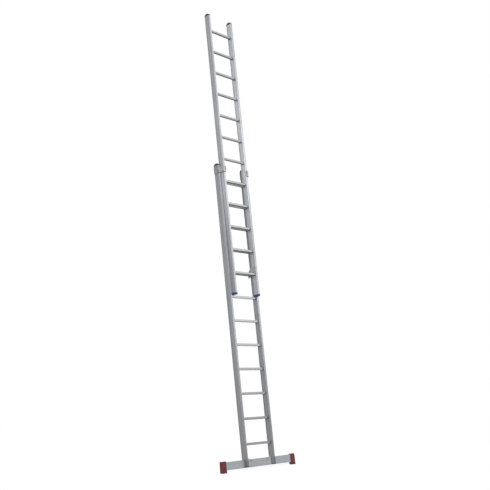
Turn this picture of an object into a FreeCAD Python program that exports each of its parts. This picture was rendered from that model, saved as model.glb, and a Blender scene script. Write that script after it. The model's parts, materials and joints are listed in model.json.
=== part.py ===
import FreeCAD, Part
import math
import os

# Two-section push-up extension ladder: a wide base section and a narrower fly section that
# slides up in front of the base rungs. Millimetres.
#
# Everything is drawn in the ladder's own directions first: x across the ladder, n through its
# depth (positive to the back, towards the wall) and s along its stiles from the floor up.
# stand_up() then leans each finished piece back to the working angle, so that the feet are
# flat on z = 0 and the origin is on the floor, midway between the feet.

# ---- whole ladder --------------------------------------------------------------------------
lean_deg = 15.0             # angle of the stiles from vertical: the 75 degree working angle
rung_pitch = 250.0          # centre to centre, both sections
rungs_per_section = 12
rungs_raised = 7            # how many rungs the fly stands raised by
base_width = 428.0          # over the outer faces of the base stiles
side_gap = 4.5              # between a base stile and the fly stile inside it
depth_gap = 2.0             # between the base rungs and the back of the fly stiles
running_gap = 0.3           # between faces that slide past or lie close to each other
hole_clearance = 0.05       # radial, a rivet or bolt in its hole
pivot_clearance = 0.05      # radial, the latch on its pin

# ---- stiles: box section, one profile for both sections ------------------------------------
stile_width = 24.0
stile_depth = 66.0
stile_wall = 1.7
stile_corner = 3.0
web_recess = 1.5            # the inner face is recessed between its two lands
land_width = 12.0
first_rung_up = 218.0       # from the stile's lower end to its first rung
last_rung_down = 172.0      # from the last rung to the stile's upper end
stile_end_height = 32.0     # lower end of the base stiles above the floor, along the stile

# ---- rungs: square tube with a grooved tread ------------------------------------------------
rung_depth = 26.0
rung_height = 26.0
rung_corner = 6.0
rung_wall = 1.6
rung_bore_bevel = 3.0
rung_fit = 0.1              # between the rung and its hole in the stile
rung_hole_bevel = 3.4       # the holes have straight bevels that the rung's corners fit inside
rung_tail = 3.0             # how far the rung stands into the stile past the wall
tread_grooves = 3
tread_groove_pitch = 4.5
tread_groove_width = 1.6
tread_groove_depth = 1.0

# ---- end caps and fly feet ------------------------------------------------------------------
cap_rim = 1.0               # how far a cap stands proud of the stile
cap_side_height = 7.0
cap_dome_height = 25.0
foot_height = 23.0
foot_front_rim = 2.0
foot_corner = 9.0
plug_depth = 25.0
plug_clearance = 0.25

# ---- stabiliser bar, its feet and brackets --------------------------------------------------
bar_thickness = 20.0
bar_height = 78.0
bar_bottom = 24.0           # above the floor, along the stile
bar_length = 1089.0
bar_ahead = 8.0             # front of the bar, in front of the middle of the stile's depth
bar_wall = 2.0
bar_corner = 3.0
bar_foot_wall = 4.0
bar_foot_end_wall = 4.0
bar_foot_top_length = 66.0
bar_foot_flare = 3.5        # the ends of the sole stand out past the top
bar_foot_top_rise = 8.0     # above the bar
bar_foot_corner = 7.0
bar_foot_edge = 2.0
socket_clearance = 0.2
sole_grooves = 4
sole_groove_pitch = 14.0
sole_groove_width = 4.0
sole_groove_depth = 2.0
angle_thickness = 2.6
angle_length = 86.0
angle_low = 12.0            # lower edge above the bar's lower edge
angle_tall = 10.0           # upper edge above the bar, at the stile
angle_short = -6.0          # upper edge above the bar, at the free end
angle_shoulder = 26.0       # full height from the stile to here
angle_leg = 22.0            # leg along the stile, from the bar forwards
angle_corner = 5.0
angle_rivet_back = 17.0     # from the bar to the rivets in the leg
angle_rivet_heights = (20.0, 60.0)              # above the bar's lower edge
bar_bolt_radius = 4.0
bar_bolt_inset = 73.0       # from the stile's inner face to the bolt
bar_bolt_drop = 15.0        # below the top of the bar
bolt_head_flats = 13.0
bolt_head_height = 5.3
nut_height = 6.5
bolt_tail = 2.0
washer_radius = 8.0
washer_thickness = 1.6

# ---- boots on the two prongs of each base stile, in front of the bar and behind it ----------
boot_wall = 2.0
boot_inner_wall = 1.5
boot_floor = 4.0
boot_top = 94.0
boot_corner = 4.0

# ---- guide brackets at the top of the base section ------------------------------------------
guide_thickness = 4.0
guide_height = 84.0
guide_below_end = 2.0       # upper edge below the upper end of the base stile
guide_lip_drop = 18.0       # the front lip is lower than the cheek at its top
guide_return = 24.0         # the bracket turns in behind the stile this far
guide_tab = 10.0            # the cheek goes on below the bracket's lower edge, at the back
guide_tab_front = -14.0     # front end of that tab
guide_tab_slope = 5.0
guide_corner = 14.0
guide_top_corner = 5.0
guide_lip_corner = 8.0
guide_bend = 4.0
guide_inner_bend = 1.0
pad_thickness = 4.0         # nylon pad beside the fly stile
pad_front_thickness = 5.7   # nylon pad in front of the fly stile
pad_end_gap = 6.0           # bracket edge to pad edge
pad_inset = 1.0             # lip's edge to pad edge
guide_rivet_heights = (16.0, 50.0)              # above the bracket's lower edge

# ---- rivets ---------------------------------------------------------------------------------
rivet_radius = 2.4
rivet_head_radius = 4.8
rivet_head_height = 1.6
rivet_crown_radius = 3.0    # the flat top of the head
rivet_tail_length = 2.0     # stands out behind the last sheet

# ---- rung hooks and safety latches on the fly -----------------------------------------------
hook_thickness = 6.0
hook_plate_low = 9.0        # lower edge of the plate above the fly rung
hook_plate_tall = 60.0
hook_plate_front = 24.0     # front edge of the plate, forward of the fly rung's middle
hook_rivet_edge = 13.0      # from the plate's lower and upper edges
hook_seat_overhang = 3.0    # the seat begins this far in front of the rung
hook_neck = 6.0             # slope from the plate down to the seat
hook_corner_small = 2.0
hook_corner_middle = 6.0
hook_corner_large = 12.0
hook_arm = 20.5             # depth of metal above the rung it sits on
hook_beak_thickness = 11.7
hook_beak_gap = 2.3         # behind the base rung
hook_beak_length = 27.0     # below the seat
latch_thickness = 4.0
latch_pivot_back = 6.0      # behind the middle of the base rung
latch_pivot_up = 31.0       # above the middle of the base rung
latch_pin_radius = 3.0
latch_boss_radius = 10.0
latch_arm_width = 12.5
latch_toe_gap = 2.5         # under the base rung
latch_toe_thickness = 8.5
latch_toe_reach = 2.0       # the toe ends this far in front of the rung's middle
latch_finger = 12.0         # finger tab below the toe
latch_finger_taper = 4.0
latch_corner_small = 2.0
latch_corner_large = 6.0
latch_shoulder = 6.0        # the arm starts this far below the boss
latch_pin_head_radius = 6.0
latch_pin_head_height = 2.0
latch_pin_tail_radius = 4.5
latch_pin_tail_height = 1.5
spring_wire = 1.5
spring_length = 3.4

# ---- sizes that follow from these -----------------------------------------------------------
stile_length = first_rung_up + (rungs_per_section - 1) * rung_pitch + last_rung_down
fly_width = base_width - 2 * (stile_width + side_gap)
fly_middle = -(rung_depth / 2 + depth_gap + stile_depth / 2)    # n of the fly's mid-plane
fly_raise = rungs_raised * rung_pitch
base_bottom = stile_end_height
base_top = base_bottom + stile_length
first_rung = base_bottom + first_rung_up
fly_bottom = base_bottom + fly_raise
fly_top = fly_bottom + stile_length
hooked_rung = first_rung + fly_raise            # the base rung that carries the fly
bar_front = -bar_ahead
bar_back = bar_front + bar_thickness
bar_top = bar_bottom + bar_height
floor_slope = math.tan(math.radians(lean_deg))
cut = 1.0                   # cutting tools reach this far past the faces that they cut
well_clear = 200.0          # larger than anything near the floor

Vector = FreeCAD.Vector


# ---- drawing helpers ------------------------------------------------------------------------
def side_plane(x):
    """Outline points are (n, s); the outline lies in the plane x."""
    return lambda n, s: Vector(x, n, s)


def front_plane(n):
    """Outline points are (x, s); the outline lies in the plane n."""
    return lambda x, s: Vector(x, n, s)


def level_plane(s):
    """Outline points are (x, n); the outline lies in the plane s."""
    return lambda x, n: Vector(x, n, s)


def rounded_wire(corners, plane):
    """Closed wire through corners (a, b) or (a, b, radius)."""
    corners = [(tuple(corner) + (0.0,))[:3] for corner in corners]
    edges = []
    starts = []
    ends = []
    arcs = []
    count = len(corners)
    for index, (a, b, radius) in enumerate(corners):
        before = corners[index - 1]
        after = corners[(index + 1) % count]
        corner = Vector(a, b, 0)
        back = (Vector(before[0], before[1], 0) - corner).normalize()
        ahead = (Vector(after[0], after[1], 0) - corner).normalize()
        if radius <= 0:
            starts.append(corner)
            ends.append(corner)
            arcs.append(None)
            continue
        half = back.getAngle(ahead) / 2
        reach = radius / math.tan(half)
        towards = (back + ahead).normalize()
        starts.append(corner + back * reach)
        ends.append(corner + ahead * reach)
        arcs.append(corner + towards * (radius / math.sin(half) - radius))
    for index in range(count):
        start = plane(starts[index].x, starts[index].y)
        end = plane(ends[index].x, ends[index].y)
        if arcs[index] is not None:
            middle = plane(arcs[index].x, arcs[index].y)
            edges.append(Part.Arc(start, middle, end).toShape())
        following = starts[(index + 1) % count]
        following = plane(following.x, following.y)
        if (following - end).Length > 1e-6:
            edges.append(Part.LineSegment(end, following).toShape())
    return Part.Wire(edges)


def prism(corners, plane, along):
    """Solid with the given outline, drawn in a plane and pushed along a vector."""
    return Part.Face(rounded_wire(corners, plane)).extrude(along)


def block(x_range, n_range, s_range):
    size = [high - low for low, high in (x_range, n_range, s_range)]
    return Part.makeBox(*size, Vector(x_range[0], n_range[0], s_range[0]))


def rectangle(low_a, high_a, low_b, high_b, radius=0.0):
    return [(low_a, low_b, radius), (high_a, low_b, radius),
            (high_a, high_b, radius), (low_a, high_b, radius)]


def across(radius, length, x, n, s):
    """Round bar along x, from x towards the right."""
    return Part.makeCylinder(radius, length, Vector(x, n, s), Vector(1, 0, 0))


def through(radius, length, x, n, s):
    """Round bar along n, from n towards the back."""
    return Part.makeCylinder(radius, length, Vector(x, n, s), Vector(0, 1, 0))


def hexagon_bar(flats, length, x, n, s):
    corner = flats / math.sqrt(3)
    points = []
    for index in range(6):
        angle = math.radians(60 * index)
        points.append((x + corner * math.cos(angle), s + corner * math.sin(angle)))
    return prism(points, front_plane(n), Vector(0, length, 0))


def mirrored(shape):
    return shape.mirror(Vector(0, 0, 0), Vector(1, 0, 0))


def fused(shapes):
    whole = shapes[0].multiFuse(shapes[1:]) if len(shapes) > 1 else shapes[0]
    return whole.removeSplitter()


# ---- stiles ---------------------------------------------------------------------------------
def stile_sides(width):
    """x of a right-hand stile's outer face, its lands and its recessed web."""
    outer = width / 2
    land = outer - stile_width
    return outer, land, land + web_recess


def stile_tube(width, middle, bottom):
    outer, land, web = stile_sides(width)
    back = middle + stile_depth / 2
    front = middle - stile_depth / 2
    profile = [
        (outer, front, stile_corner), (outer, back, stile_corner), (land, back, stile_corner),
        (land, back - land_width), (web, back - land_width),
        (web, front + land_width), (land, front + land_width), (land, front, stile_corner),
    ]
    cavity = rectangle(web + stile_wall, outer - stile_wall, front + stile_wall, back - stile_wall)
    up = Vector(0, 0, stile_length)
    return prism(profile, level_plane(bottom), up).cut(prism(cavity, level_plane(bottom), up))


def bevelled(low_a, high_a, low_b, high_b, bevel):
    """Rectangle with straight bevels at its corners."""
    return [(low_a + bevel, low_b), (high_a - bevel, low_b),
            (high_a, low_b + bevel), (high_a, high_b - bevel),
            (high_a - bevel, high_b), (low_a + bevel, high_b),
            (low_a, high_b - bevel), (low_a, low_b + bevel)]


def rung_hole(middle, height):
    """Outline of the hole that a rung passes through, in (n, s)."""
    half_depth = rung_depth / 2 + rung_fit
    half_height = rung_height / 2 + rung_fit
    return bevelled(middle - half_depth, middle + half_depth,
                    height - half_height, height + half_height, rung_hole_bevel)


def rung_outline(middle, height):
    """Outline of a rung in (n, s): rounded corners and a grooved tread."""
    front, back = middle - rung_depth / 2, middle + rung_depth / 2
    bottom, top = height - rung_height / 2, height + rung_height / 2
    corners = [(front, top, rung_corner)]
    for index in range(tread_grooves):
        centre = middle + (index - (tread_grooves - 1) / 2) * tread_groove_pitch
        near = centre - tread_groove_width / 2
        far = centre + tread_groove_width / 2
        corners += [(near, top), (near, top - tread_groove_depth),
                    (far, top - tread_groove_depth), (far, top)]
    corners += [(back, top, rung_corner), (back, bottom, rung_corner),
                (front, bottom, rung_corner)]
    return corners


def rung_heights(bottom):
    return [bottom + first_rung_up + index * rung_pitch for index in range(rungs_per_section)]


def stile(width, middle, bottom):
    """Right-hand stile with a hole in its web for each rung."""
    outer, land, web = stile_sides(width)
    holes = []
    for height in rung_heights(bottom):
        outline = rung_hole(middle, height)
        holes.append(prism(outline, side_plane(web - cut), Vector(stile_wall + 2 * cut, 0, 0)))
    return stile_tube(width, middle, bottom).cut(holes)


def rung(width, middle, height):
    """Square tube that passes through both webs and stands a little into the stiles."""
    outer, land, web = stile_sides(width)
    reach = web + stile_wall + rung_tail
    along = Vector(2 * reach, 0, 0)
    tube = prism(rung_outline(middle, height), side_plane(-reach), along)
    half_depth = rung_depth / 2 - rung_wall
    bottom = height - rung_height / 2 + rung_wall
    top = height + rung_height / 2 - tread_groove_depth - rung_wall
    bore = bevelled(middle - half_depth, middle + half_depth, bottom, top, rung_bore_bevel)
    return tube.cut(prism(bore, side_plane(-reach), along))


# ---- caps and feet on the stile ends --------------------------------------------------------
def cap_plug(width, middle, end, direction):
    """The part of a cap that is pushed into the stile."""
    outer, land, web = stile_sides(width)
    x_range = (web + stile_wall + plug_clearance, outer - stile_wall - plug_clearance)
    half = stile_depth / 2 - stile_wall - plug_clearance
    far = end - direction * plug_depth
    return block(x_range, (middle - half, middle + half), (min(end, far), max(end, far)))


def top_cap(width, middle, end):
    outer, land, web = stile_sides(width)
    front = middle - stile_depth / 2 - cap_rim
    back = middle + stile_depth / 2 + cap_rim
    shoulder = end + cap_side_height
    plane = side_plane(land - cap_rim)
    wire = Part.Wire([
        Part.LineSegment(plane(front, end), plane(back, end)).toShape(),
        Part.LineSegment(plane(back, end), plane(back, shoulder)).toShape(),
        Part.Arc(plane(back, shoulder), plane(middle, end + cap_dome_height),
                 plane(front, shoulder)).toShape(),
        Part.LineSegment(plane(front, shoulder), plane(front, end)).toShape(),
    ])
    dome = Part.Face(wire).extrude(Vector(stile_width + 2 * cap_rim, 0, 0))
    return fused([dome, cap_plug(width, middle, end, 1)])


def fly_foot(width, middle, end):
    outer, land, web = stile_sides(width)
    front = middle - stile_depth / 2 - foot_front_rim
    back = middle + stile_depth / 2 + depth_gap / 3
    low = end - foot_height
    corners = [(front, end), (front, low, foot_corner), (back, low, foot_corner), (back, end)]
    pad = prism(corners, side_plane(land - cap_rim), Vector(stile_width + 2 * cap_rim, 0, 0))
    return fused([pad, cap_plug(width, middle, end, -1)])


# ---- rivets ---------------------------------------------------------------------------------
def rivet(head_at, into, grip):
    """Rivet with its head seated at a point, its shank going into the metal for the grip."""
    head = Part.makeCone(rivet_crown_radius, rivet_head_radius, rivet_head_height,
                         head_at - into * rivet_head_height, into)
    shank = Part.makeCylinder(rivet_radius, grip + rivet_tail_length, head_at, into)
    return fused([head, shank])


def rivet_hole(head_at, into, grip):
    radius = rivet_radius + hole_clearance
    return Part.makeCylinder(radius, grip + 2 * cut, head_at - into * cut, into)


# ---- stabiliser bar -------------------------------------------------------------------------
def bar_bolt_place():
    """x and s of the bolt on the right-hand side."""
    outer, land, web = stile_sides(base_width)
    return land - bar_bolt_inset, bar_top - bar_bolt_drop


def stabiliser_bar():
    along = Vector(bar_length, 0, 0)
    plane = side_plane(-bar_length / 2)
    outline = rectangle(bar_front, bar_back, bar_bottom, bar_top, bar_corner)
    bore = rectangle(bar_front + bar_wall, bar_back - bar_wall,
                     bar_bottom + bar_wall, bar_top - bar_wall)
    bar = prism(outline, plane, along).cut(prism(bore, plane, along))
    x, s = bar_bolt_place()
    radius = bar_bolt_radius + hole_clearance
    hole = through(radius, bar_thickness + 2 * cut, x, bar_front - cut, s)
    return bar.cut([hole, mirrored(hole)])


def below_floor(x_range, lift=0.0):
    """Everything below the floor, or below a plane lifted above it, between two values of x."""
    far = well_clear
    corners = [(-far, -far * floor_slope + lift), (far, far * floor_slope + lift),
               (far, -far), (-far, -far)]
    return prism(corners, side_plane(x_range[0]), Vector(x_range[1] - x_range[0], 0, 0))


def stabiliser_foot():
    """Moulded foot over the right-hand end of the bar, with a flat grooved sole."""
    end = bar_length / 2 + bar_foot_end_wall
    top = bar_top + bar_foot_top_rise
    inboard = end - bar_foot_top_length
    low = (bar_front - bar_foot_wall) * floor_slope
    corners = [
        (end + bar_foot_flare, low, bar_foot_corner), (end, top, bar_foot_corner),
        (inboard, top, bar_foot_corner / 2), (inboard - bar_foot_flare, low, bar_foot_corner),
    ]
    front = bar_front - bar_foot_wall
    back = bar_back + bar_foot_wall
    x_reach = (inboard - well_clear, end + well_clear)
    foot = prism(corners, front_plane(front), Vector(0, back - front, 0))
    rims = [edge for edge in foot.Edges
            if edge.BoundBox.YMax < front + 1e-3 or edge.BoundBox.YMin > back - 1e-3]
    foot = foot.makeChamfer(bar_foot_edge, rims).cut(below_floor(x_reach))
    gap = socket_clearance
    socket = block((x_reach[0], bar_length / 2 + gap),
                   (bar_front - gap, bar_back + gap), (bar_bottom - gap, bar_top + gap))
    grooves = []
    sole_middle = end - bar_foot_top_length / 2
    lift = sole_groove_depth / math.cos(math.radians(lean_deg))
    for index in range(sole_grooves):
        x = sole_middle + (index - (sole_grooves - 1) / 2) * sole_groove_pitch
        grooves.append(below_floor((x - sole_groove_width / 2, x + sole_groove_width / 2), lift))
    return foot.cut([socket] + grooves)


def bar_bracket():
    """Angle bracket: one leg bolted to the bar, the other riveted to the right-hand stile."""
    outer, land, web = stile_sides(base_width)
    front = bar_front - angle_thickness
    low = bar_bottom + angle_low
    tall = bar_top + angle_tall
    free = land - angle_length
    plate = prism([
        (land, low), (land, tall), (land - angle_shoulder, tall, angle_corner),
        (free, bar_top + angle_short, angle_corner), (free, low, angle_corner),
    ], front_plane(front), Vector(0, angle_thickness, 0))
    leg = prism([
        (bar_front, low), (bar_front, tall),
        (bar_front - angle_leg, tall, angle_corner), (bar_front - angle_leg, low, angle_corner),
    ], side_plane(land - angle_thickness), Vector(angle_thickness, 0, 0))
    angle = fused([plate, leg])
    holes = [rivet_hole(*place) for place in bar_rivet_places()]
    x, s = bar_bolt_place()
    radius = bar_bolt_radius + hole_clearance
    holes.append(through(radius, angle_thickness + 2 * cut, x, front - cut, s))
    return angle.cut(holes)


def bar_rivet_places():
    """Rivets that hold the angle bracket to the land of the right-hand stile."""
    outer, land, web = stile_sides(base_width)
    n = bar_front - angle_rivet_back
    grip = angle_thickness + web_recess + stile_wall
    return [(Vector(land - angle_thickness, n, bar_bottom + height), Vector(1, 0, 0), grip)
            for height in angle_rivet_heights]


def bar_bolt():
    """Hexagon bolt, from the front through bracket and bar."""
    x, s = bar_bolt_place()
    seat = bar_front - angle_thickness
    length = bar_back + washer_thickness + nut_height + bolt_tail - seat
    head = hexagon_bar(bolt_head_flats, bolt_head_height, x, seat - bolt_head_height, s)
    return fused([head, through(bar_bolt_radius, length, x, seat, s)])


def bar_washer():
    x, s = bar_bolt_place()
    ring = through(washer_radius, washer_thickness, x, bar_back, s)
    return ring.cut(through(bar_bolt_radius + hole_clearance, washer_thickness, x, bar_back, s))


def bar_nut():
    x, s = bar_bolt_place()
    n = bar_back + washer_thickness
    nut = hexagon_bar(bolt_head_flats, nut_height, x, n, s)
    return nut.cut(through(bar_bolt_radius + hole_clearance, nut_height, x, n, s))


# ---- base section ---------------------------------------------------------------------------
def base_stile():
    """Right-hand base stile, slotted at its lower end so that the bar passes through it."""
    outer, land, web = stile_sides(base_width)
    slot = block((land - cut, outer + cut), (bar_front - running_gap, bar_back + running_gap),
                 (base_bottom - cut, bar_top + running_gap))
    holes = [rivet_hole(*place) for place in bar_rivet_places() + guide_rivet_places()]
    return stile(base_width, 0.0, base_bottom).cut([slot] + holes)


def stile_boot(face, bar_face):
    """Moulded boot on one prong of the right-hand base stile, from the stile's face to the bar."""
    outer, land, web = stile_sides(base_width)
    side = math.copysign(1, face)
    skin = face + side * boot_wall
    rim = bar_face + side * 2 * running_gap
    bottom = base_bottom - boot_floor
    boot = prism([
        (outer + boot_wall, skin, boot_corner), (outer + boot_wall, rim),
        (land - boot_inner_wall, rim), (land - boot_inner_wall, skin, boot_inner_wall),
    ], level_plane(bottom), Vector(0, 0, boot_top - bottom))
    inside = block((land, outer), sorted((face, rim - side * cut)), (base_bottom, boot_top + cut))
    return boot.cut(inside)


def front_boot():
    """Its inner wall leaves the leg of the angle bracket free."""
    outer, land, web = stile_sides(base_width)
    passage = block((land - boot_inner_wall - cut, land),
                    (bar_front - angle_leg - running_gap, bar_front),
                    (bar_bottom + angle_low - running_gap, boot_top + cut))
    return stile_boot(-stile_depth / 2, bar_front).cut(passage)


def rear_boot():
    return stile_boot(stile_depth / 2, bar_back)


guide_top = base_top - guide_below_end
guide_bottom = guide_top - guide_height


def guide_section():
    """Named lines of the guide bracket's section, right-hand side."""
    outer, land, web = stile_sides(base_width)
    fly_outer, fly_land, fly_web = stile_sides(fly_width)
    cheek = fly_outer + running_gap + pad_thickness
    fly_front = fly_middle - stile_depth / 2
    lip = fly_front - running_gap - pad_front_thickness
    return outer, cheek, fly_land - cap_rim, lip


def guide_bracket():
    """Wraps the back, outer and front of the base stile, then the outer and front of the fly."""
    outer, cheek, inner_edge, lip = guide_section()
    t = guide_thickness
    front = -stile_depth / 2
    back = stile_depth / 2
    section = [
        (outer, back), (outer - guide_return, back), (outer - guide_return, back + t),
        (outer + t, back + t, guide_bend), (outer + t, front - t, guide_bend),
        (cheek + t, front - t, guide_inner_bend), (cheek + t, lip - t, guide_bend),
        (inner_edge, lip - t), (inner_edge, lip), (cheek, lip, guide_inner_bend),
        (cheek, front), (outer, front),
    ]
    low = guide_bottom - guide_tab
    wrap = prism(section, level_plane(low), Vector(0, 0, guide_top - low))
    lip_top = guide_top - guide_lip_drop
    side = [
        (back + t, guide_top, guide_top_corner), (back + t, low, guide_corner),
        (guide_tab_front, low, guide_top_corner),
        (guide_tab_front - guide_tab_slope, guide_bottom),
        (lip - t, guide_bottom), (lip - t, lip_top), (0.0, guide_top),
    ]
    trim = prism(side, side_plane(0), Vector(base_width, 0, 0))
    lip_face = prism([
        (inner_edge, guide_bottom, guide_lip_corner), (inner_edge, lip_top, guide_lip_corner),
        (cheek, lip_top), (cheek, guide_bottom),
    ], front_plane(lip - t), Vector(0, t, 0))
    lip_zone = block((inner_edge, cheek), (lip - t, lip), (guide_bottom, guide_top))
    holes = [rivet_hole(*place) for place in guide_rivet_places()]
    return wrap.common(trim).cut([lip_zone.cut(lip_face)] + holes)


def guide_pad():
    """Nylon liner inside the bracket that the fly stile slides on."""
    outer, cheek, inner_edge, lip = guide_section()
    fly_outer = stile_sides(fly_width)[0]
    fly_front = fly_middle - stile_depth / 2
    slide_x = fly_outer + running_gap
    slide_n = fly_front - running_gap
    rear = -stile_depth / 2 - guide_thickness
    section = [
        (cheek, rear), (cheek, lip, guide_inner_bend), (inner_edge + pad_inset, lip),
        (inner_edge + pad_inset, slide_n), (slide_x, slide_n), (slide_x, rear),
    ]
    height = guide_height - guide_lip_drop - 2 * pad_end_gap
    return prism(section, level_plane(guide_bottom + pad_end_gap), Vector(0, 0, height))


def guide_rivet_places():
    outer, cheek, inner_edge, lip = guide_section()
    grip = guide_thickness + stile_wall
    return [(Vector(outer + guide_thickness, 0, guide_bottom + height), Vector(-1, 0, 0), grip)
            for height in guide_rivet_heights]


# ---- hooks and latches on the fly -----------------------------------------------------------
def hook_sides():
    """x of the faces of the right-hand hook plate and of its latch."""
    land = stile_sides(fly_width)[1]
    hook_inner = land - hook_thickness
    latch_outer = hook_inner - running_gap
    return land, hook_inner, latch_outer, latch_outer - latch_thickness


def latch_axis():
    return latch_pivot_back, hooked_rung + latch_pivot_up


def rung_hook():
    """Fixed hook: a plate on the fly stile whose arm sits on the base rung, beak behind it."""
    land, inner, latch_outer, latch_inner = hook_sides()
    seat = hooked_rung + rung_height / 2 + running_gap
    plate_low = hooked_rung + rung_height / 2 + hook_plate_low
    plate_top = plate_low + hook_plate_tall
    plate_front = fly_middle - hook_plate_front
    beak_front = rung_depth / 2 + hook_beak_gap
    beak_back = beak_front + hook_beak_thickness
    seat_front = -rung_depth / 2 - hook_seat_overhang
    small, medium, large = hook_corner_small, hook_corner_middle, hook_corner_large
    corners = [
        (plate_front, plate_low, medium), (seat_front - hook_neck, plate_low, small),
        (seat_front, seat, small), (beak_front, seat, small),
        (beak_front, seat - hook_beak_length, small),
        (beak_back, seat - hook_beak_length, medium), (beak_back, seat + hook_arm, large),
        (seat_front, plate_top, large), (plate_front, plate_top, large),
    ]
    plate = prism(corners, side_plane(inner), Vector(hook_thickness, 0, 0))
    n, s = latch_axis()
    radius = latch_pin_radius + hole_clearance
    holes = [across(radius, hook_thickness + 2 * cut, inner - cut, n, s)]
    holes += [rivet_hole(*place) for place in hook_rivet_places()]
    return plate.cut(holes)


def hook_rivet_places():
    land, inner, latch_outer, latch_inner = hook_sides()
    low = hooked_rung + rung_height / 2 + hook_plate_low
    grip = hook_thickness + web_recess + stile_wall
    places = []
    for up in (hook_rivet_edge, hook_plate_tall - hook_rivet_edge):
        places.append((Vector(inner, fly_middle, low + up), Vector(1, 0, 0), grip))
    return places


def latch():
    """Sprung safety latch: hangs behind the base rung with its toe under it."""
    land, inner, outer_face, inner_face = hook_sides()
    n, s = latch_axis()
    boss = latch_boss_radius
    arm_front = rung_depth / 2 + hook_beak_gap
    arm_back = arm_front + latch_arm_width
    toe_top = hooked_rung - rung_height / 2 - latch_toe_gap
    toe_low = toe_top - latch_toe_thickness
    finger_low = toe_low - latch_finger
    small, large = latch_corner_small, latch_corner_large
    round_top = boss - running_gap
    corners = [
        (n - boss, s + boss, round_top), (n + boss, s + boss, round_top),
        (arm_back, s - boss, large), (arm_back, toe_top, small),
        (arm_back - latch_finger_taper, finger_low, small),
        (arm_front + small, finger_low, small), (arm_front + small, toe_low),
        (-latch_toe_reach, toe_low, small), (-latch_toe_reach, toe_top, small),
        (arm_front, toe_top, small), (arm_front, s - boss - latch_shoulder, small),
        (n - boss, s - boss, large),
    ]
    plate = prism(corners, side_plane(inner_face), Vector(latch_thickness, 0, 0))
    radius = latch_pin_radius + pivot_clearance
    return plate.cut(across(radius, latch_thickness + 2 * cut, inner_face - cut, n, s))


def latch_pin():
    """Pin riveted in the hook plate; the latch turns on it under a wide head."""
    land, inner, latch_outer, latch_inner = hook_sides()
    n, s = latch_axis()
    head = latch_inner - spring_length - 2 * running_gap - latch_pin_head_height
    shank_start = head + latch_pin_head_height
    shank = across(latch_pin_radius, land - shank_start, shank_start, n, s)
    tail = across(latch_pin_tail_radius, latch_pin_tail_height, land, n, s)
    return fused([across(latch_pin_head_radius, latch_pin_head_height, head, n, s), shank, tail])


def latch_spring():
    """Torsion spring, drawn as the sleeve that its coils fill."""
    land, inner, latch_outer, latch_inner = hook_sides()
    n, s = latch_axis()
    x = latch_inner - running_gap - spring_length
    bore = latch_pin_radius + running_gap
    sleeve = across(bore + spring_wire, spring_length, x, n, s)
    return sleeve.cut(across(bore, spring_length, x, n, s))


def fly_stile():
    holes = [rivet_hole(*place) for place in hook_rivet_places()]
    return stile(fly_width, fly_middle, fly_bottom).cut(holes)


# ---- put the ladder together ----------------------------------------------------------------
parts = {}


def add_pair(name, shape):
    """A right-hand piece and its mirror image, as two nodes."""
    parts[name + "_right"] = shape
    parts[name + "_left"] = mirrored(shape)


def add_set(name, shapes):
    """Right-hand pieces and their mirror images, as one node of separate solids."""
    parts[name] = Part.makeCompound(shapes + [mirrored(shape) for shape in shapes])


add_pair("base_stile", base_stile())
add_pair("fly_stile", fly_stile())
for number, height in enumerate(rung_heights(base_bottom), start=1):
    parts["base_rung_%02d" % number] = rung(base_width, 0.0, height)
for number, height in enumerate(rung_heights(fly_bottom), start=1):
    parts["fly_rung_%02d" % number] = rung(fly_width, fly_middle, height)
add_pair("base_top_cap", top_cap(base_width, 0.0, base_top))
add_pair("fly_top_cap", top_cap(fly_width, fly_middle, fly_top))
add_pair("fly_foot", fly_foot(fly_width, fly_middle, fly_bottom))
add_pair("base_boot", front_boot())
add_pair("base_heel", rear_boot())
parts["stabiliser_bar"] = stabiliser_bar()
add_pair("stabiliser_foot", stabiliser_foot())
add_pair("bar_bracket", bar_bracket())
add_set("bar_bolts", [bar_bolt()])
add_set("bar_washers", [bar_washer()])
add_set("bar_nuts", [bar_nut()])
add_set("bar_bracket_rivets", [rivet(*place) for place in bar_rivet_places()])
add_pair("guide_bracket", guide_bracket())
add_pair("guide_pad", guide_pad())
add_set("guide_rivets", [rivet(*place) for place in guide_rivet_places()])
add_pair("rung_hook", rung_hook())
add_set("hook_rivets", [rivet(*place) for place in hook_rivet_places()])
add_pair("latch", latch())
add_set("latch_pins", [latch_pin()])
add_set("latch_springs", [latch_spring()])


def stand_up(shape):
    """Lean a piece from the ladder's own directions back to the working angle."""
    leaning = shape.copy()
    leaning.rotate(Vector(0, 0, 0), Vector(1, 0, 0), -lean_deg)
    return leaning


os.makedirs("parts", exist_ok=True)
for name, shape in parts.items():
    stand_up(shape).exportStep("parts/%s.step" % name)
print(len(parts), "nodes")
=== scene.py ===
# %% [markdown]
# # An aluminium extension ladder
#
# A ladder of this kind is two extruded sections. The wide base section stands on a cross bar
# with moulded feet, and the narrower fly section slides up in front of its rungs and hooks
# over one of them. The construction comes from the frame: this lesson adds the finish of
# every surface and the small things that repeat, such as rung collars, rivets and springs.

import json
import math
from collections import namedtuple

import bmesh
import bpy
from mathutils import Matrix, Vector


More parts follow.
